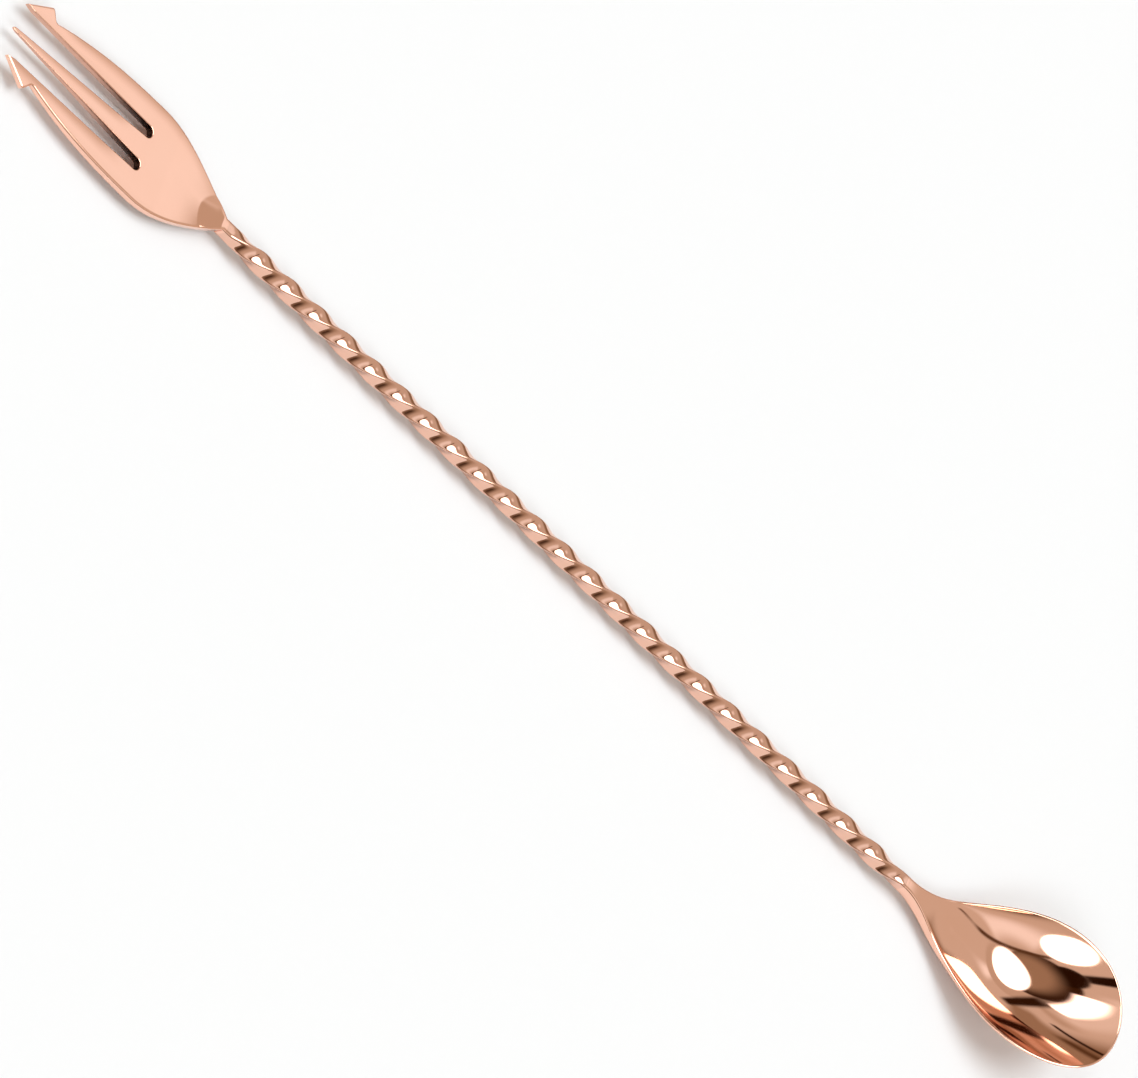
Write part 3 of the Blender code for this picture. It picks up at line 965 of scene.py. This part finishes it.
# Walls, flags and softboxes round the spoon, painted one over another. Panels are placed by their
# direction in degrees, and roundels and beams on the ceiling, in shares of its height over the spoon. A
# level of 1 is white, lower levels are warm browns, and SOFTBOX stands for the strength of the softboxes.
SOFTBOX = -1
SURROUNDINGS = (
    Panel("light wall", -48, 36, 50, 7, 6, 1.0),
    Panel("far wall", 43.5, 7, 44, 6, 5.5, 1.03),
    Panel("left wall", 166, 36, 44.5, 4.5, 4, 0.80),
    Panel("gap in the left wall", 121, 4, 46, 9, 4, 0.52),
    Panel("low left wall", 115, 36, 14, 14, 9, 0.26),
    Panel("low far wall", 50, 22, 9, 9, 6, 0.28),
    Panel("dark side", 92, 11, 20, 22, 5, 0.33),
    Panel("dark streak", 110.5, 1.5, 26, 10, 1.2, 0.03),
    Panel("low dark streak", 103, 3, 15, 8, 3, 0.10),
    Panel("low brown wall", -57, 38, 14, 13, 14, 0.42),
    Panel("low dark wall", -60, 19, 12, 9, 12, 0.05),
    Roundel("brown ring", 0.222, 0.304, 0.55, 0.08, 0.56),
    Roundel("dark edge of the ceiling", -0.18, -0.11, 0.50, 0.05, 0.04),
    Roundel("dark point of the ceiling", -0.45, -0.45, 0.21, 0.10, 0.02),
    Roundel("ceiling", -0.08, -0.12, 0.38, 0.35, 0.34),
    Beam("dark corner", -0.05, 0.88, 52.7, 0.66, 0.115, 0.055, 0.03),
    Beam("edge of the ceiling", 0.35, -0.31, 36.9, 0.75, 0.03, 0.02, 0.10),
    Panel("camera", -135.5, 5.3, 41, 9.5, 1.7, 0.02),
    Roundel("overhead softbox", 0.21, 0.14, 0.385, 0.10, SOFTBOX),
    Panel("left softbox", 164.5, 28, 53.3, 4.1, 3, SOFTBOX),
    Roundel("right softbox", -0.17, -1.06, 0.35, 0.09, SOFTBOX),
)


def warm(level):
    """Colour of a wall: white at 1, and browner the darker it is."""
    return (*(level ** power if level < 1 else level for power in WARMTH), 1.0)


def studio_world(studio):
    """Warm walls with flags and softboxes, which light the spoon and show in it."""
    world = bpy.data.worlds.new("soft_studio")
    world.use_nodes = True
    tree = world.node_tree
    tree.nodes.clear()
    calculate = partial(math_node, tree)
    direction = new_node(tree, "ShaderNodeSeparateXYZ",
                         Vector=tree.nodes.new("ShaderNodeTexCoord").outputs["Generated"]).outputs
    azimuth = calculate("ARCTAN2", direction["Y"], direction["X"])
    elevation = calculate("ARCSINE", direction["Z"])
    height = calculate("MAXIMUM", direction["Z"], LOWEST_CEILING)

    def within(value, half, soft):
        node = new_node(tree, "ShaderNodeMapRange", Value=calculate("ABSOLUTE", value),
                        From_Min=half + soft, From_Max=half - soft)
        node.interpolation_type = "SMOOTHSTEP"
        return node.outputs["Result"]

    def from_middle(item):
        return [calculate("SUBTRACT", calculate("DIVIDE", direction[axis], height), middle)
                for axis, middle in (("X", item.x), ("Y", item.y))]

    def panel_mask(panel):
        soft = math.radians(panel.soft)
        aside = calculate("SUBTRACT", azimuth, math.radians(panel.azimuth))
        across = calculate("WRAP", aside, math.pi, -math.pi)
        up = calculate("SUBTRACT", elevation, math.radians(panel.elevation))
        return calculate("MULTIPLY", within(across, math.radians(panel.half_azimuth), soft),
                         within(up, math.radians(panel.half_elevation), soft))

    def roundel_mask(roundel):
        squares = [calculate("POWER", offset, 2.0) for offset in from_middle(roundel)]
        away = calculate("SQRT", calculate("ADD", *squares))
        return within(away, roundel.radius, roundel.radius * roundel.soft)

    def beam_mask(beam):
        x, y = from_middle(beam)
        cosine, sine = math.cos(math.radians(beam.turn)), math.sin(math.radians(beam.turn))
        along = calculate("MULTIPLY_ADD", x, cosine, calculate("MULTIPLY", y, sine))
        across = calculate("MULTIPLY_ADD", y, cosine, calculate("MULTIPLY", x, -sine))
        return calculate("MULTIPLY", within(along, beam.half_length, BEAM_END_SOFTNESS * beam.soft),
                         within(across, beam.half_width, beam.soft))

    masks = {Panel: panel_mask, Roundel: roundel_mask, Beam: beam_mask}
    colour = warm(studio.wall)
    for item in SURROUNDINGS:
        level = studio.softbox if item.level == SOFTBOX else item.level
        colour = colour_mix(tree, masks[type(item)](item), colour, warm(level))
    background = new_node(tree, "ShaderNodeBackground", Color=colour, Strength=1.0)
    out = tree.nodes.new("ShaderNodeOutputWorld")
    tree.links.new(background.outputs["Background"], out.inputs["Surface"])
    return world


def floor_material(studio):
    """Pale matt floor, a little cool, so that it comes out white in the warm light."""
    material = bpy.data.materials.new("pale_floor")
    material.use_nodes = True
    tree = material.node_tree
    tree.nodes.clear()
    place = tree.nodes.new("ShaderNodeTexCoord").outputs["Object"]
    grain = new_node(tree, "ShaderNodeTexNoise", Vector=place, Scale=PAPER_SCALE)
    paper = new_node(tree, "ShaderNodeBump", Strength=PAPER_STRENGTH, Distance=PAPER_DEPTH,
                     Height=grain.outputs["Fac"])
    matt = new_node(tree, "ShaderNodeBsdfDiffuse", Color=(*studio.floor_colour, 1.0),
                    Normal=paper.outputs["Normal"])
    out = tree.nodes.new("ShaderNodeOutputMaterial")
    tree.links.new(matt.outputs["BSDF"], out.inputs["Surface"])
    return material


def build_stage(settings):
    studio = settings.studio
    scene = bpy.context.scene
    scene.view_settings.view_transform = "Standard"
    scene.world = studio_world(studio)

    mesh = bpy.data.meshes.new("floor")
    bm = bmesh.new()
    bmesh.ops.create_circle(bm, cap_ends=True, segments=FLOOR_SIDES, radius=studio.floor_radius)
    bm.to_mesh(mesh)
    bm.free()
    mesh.materials.append(floor_material(studio))
    floor = bpy.data.objects.new("floor", mesh)
    scene.collection.objects.link(floor)

    lens = bpy.data.cameras.new("camera")
    camera = bpy.data.objects.new("camera", lens)
    scene.collection.objects.link(camera)
    scene.camera = camera
    back = Vector((math.cos(studio.elevation) * math.cos(studio.azimuth),
                   math.cos(studio.elevation) * math.sin(studio.azimuth),
                   math.sin(studio.elevation)))
    camera.location = Vector(studio.aim) + back * studio.distance
    camera.rotation_mode = "QUATERNION"
    camera.rotation_quaternion = back.to_track_quat("Z", "Y") @ Quaternion((0.0, 0.0, 1.0), studio.roll)
    lens.lens = lens.sensor_width * studio.distance / studio.view_width


# Operators and panel


class BARSPOON_OT_make_stem(bpy.types.Operator):
    """Make the twisted square stem"""

    bl_idname = "bar_spoon.make_stem"
    bl_label = "Make stem"

    def execute(self, context):
        build_stem(context.scene.bar_spoon)
        return {"FINISHED"}


class BARSPOON_OT_make_bowl(bpy.types.Operator):
    """Make the pressed bowl and its neck"""

    bl_idname = "bar_spoon.make_bowl"
    bl_label = "Make bowl"

    def execute(self, context):
        build_bowl(context.scene.bar_spoon)
        return {"FINISHED"}


class BARSPOON_OT_make_fork(bpy.types.Operator):
    """Make the trident fork and its neck"""

    bl_idname = "bar_spoon.make_fork"
    bl_label = "Make fork"

    def execute(self, context):
        build_fork(context.scene.bar_spoon)
        return {"FINISHED"}


class BARSPOON_OT_make_welds(bpy.types.Operator):
    """Make the two flush welds"""

    bl_idname = "bar_spoon.make_welds"
    bl_label = "Make welds"

    def execute(self, context):
        build_welds(context.scene.bar_spoon)
        return {"FINISHED"}


class BARSPOON_OT_make_stage(bpy.types.Operator):
    """Make the floor, the studio light and the camera"""

    bl_idname = "bar_spoon.make_stage"
    bl_label = "Make stage"

    def execute(self, context):
        build_stage(context.scene.bar_spoon)
        return {"FINISHED"}


OPERATORS = (BARSPOON_OT_make_stem, BARSPOON_OT_make_bowl, BARSPOON_OT_make_fork, BARSPOON_OT_make_welds,
             BARSPOON_OT_make_stage)


class BARSPOON_PT_sidebar(bpy.types.Panel):
    """Lists the spoon's operators and settings"""

    bl_idname = "BARSPOON_PT_sidebar"
    bl_label = "Bar spoon"
    bl_space_type = "VIEW_3D"
    bl_region_type = "UI"
    bl_category = "Bar spoon"

    def draw(self, context):
        settings = context.scene.bar_spoon
        for operator in OPERATORS:
            self.layout.operator(operator.bl_idname)
        for title in ("stem", "bowl", "fork", "weld", "copper", "studio"):
            group = getattr(settings, title)
            box = self.layout.box()
            box.label(text=title.capitalize())
            for name in group.__annotations__:
                box.prop(group, name)


CLASSES = (StemSizes, BowlSizes, ForkSizes, WeldSizes, CopperFinish, StudioSetup, BarSpoonSettings,
           *OPERATORS, BARSPOON_PT_sidebar)


def register():
    for item in CLASSES:
        bpy.utils.register_class(item)
    bpy.types.Scene.bar_spoon = PointerProperty(type=BarSpoonSettings)


def unregister():
    del bpy.types.Scene.bar_spoon
    for item in reversed(CLASSES):
        bpy.utils.unregister_class(item)


def main():
    register()
    bpy.ops.bar_spoon.make_stem()
    bpy.ops.bar_spoon.make_bowl()
    bpy.ops.bar_spoon.make_fork()
    bpy.ops.bar_spoon.make_welds()
    bpy.ops.bar_spoon.make_stage()


if __name__ == "__main__":
    main()
